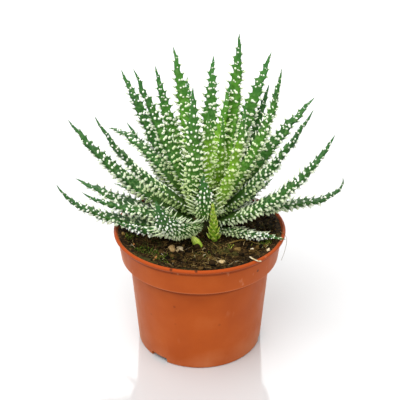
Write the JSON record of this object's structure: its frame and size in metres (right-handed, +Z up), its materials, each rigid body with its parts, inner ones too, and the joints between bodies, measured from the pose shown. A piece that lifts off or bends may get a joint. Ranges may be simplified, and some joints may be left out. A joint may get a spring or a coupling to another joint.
{
  "type": "potted aloe",
  "caption": "Small rosette succulent with long pointed leaves covered in raised white dots, standing in soil in a terracotta-coloured plastic nursery pot.",
  "frame": {"origin": "middle of the flat underside of the pot's floor", "axes": "+Z up along the pot's axis, -Y towards the front of the plant, +X to the right seen from the front"},
  "size_m": [0.1726, 0.1495, 0.19],
  "materials": {
    "pot_plastic": "moulded, satin",
    "soil": "crumbly, matte",
    "leaf_green": "waxy leaf skin with raised white dots",
    "young_leaf": "waxy leaf skin with raised white dots",
    "pale_shoot": "waxy, pale"
  },
  "bodies": {
    "root": {"pot": "pot_plastic", "soil": "soil", "stem": "leaf_green", "offset_shoot": "pale_shoot", "pale_bud": "pale_shoot", "leaf_back_left_a": "leaf_green", "leaf_back_left_b": "leaf_green", "leaf_back_left_c": "leaf_green", "leaf_back_a": "leaf_green", "leaf_back_b": "leaf_green", "leaf_front_tall": "leaf_green", "leaf_back_c": "leaf_green", "leaf_back_d": "leaf_green", "leaf_inner_back": "leaf_green", "leaf_back_right_a": "leaf_green", "leaf_back_right_b": "leaf_green", "leaf_right_a": "leaf_green", "leaf_right_b": "leaf_green", "leaf_right_c": "leaf_green", "leaf_right_d": "leaf_green", "leaf_right_short": "leaf_green", "leaf_right_hooked": "leaf_green", "leaf_front_right_low": "leaf_green", "leaf_left_drooping": "leaf_green", "leaf_left_a": "leaf_green", "leaf_left_b": "leaf_green", "leaf_left_c": "leaf_green", "leaf_left_thin": "leaf_green", "leaf_left_d": "leaf_green", "leaf_left_low": "leaf_green", "leaf_left_short": "leaf_green", "leaf_front_left_low": "leaf_green", "leaf_front_left_curled": "leaf_green", "leaf_front": "leaf_green", "leaf_heart_a": "young_leaf", "leaf_heart_b": "young_leaf", "leaf_heart_c": "young_leaf", "leaf_back_low_a": "leaf_green", "leaf_back_low_b": "leaf_green", "leaf_back_low_c": "leaf_green", "leaf_back_low_d": "leaf_green"}
  },
  "joints": []
}
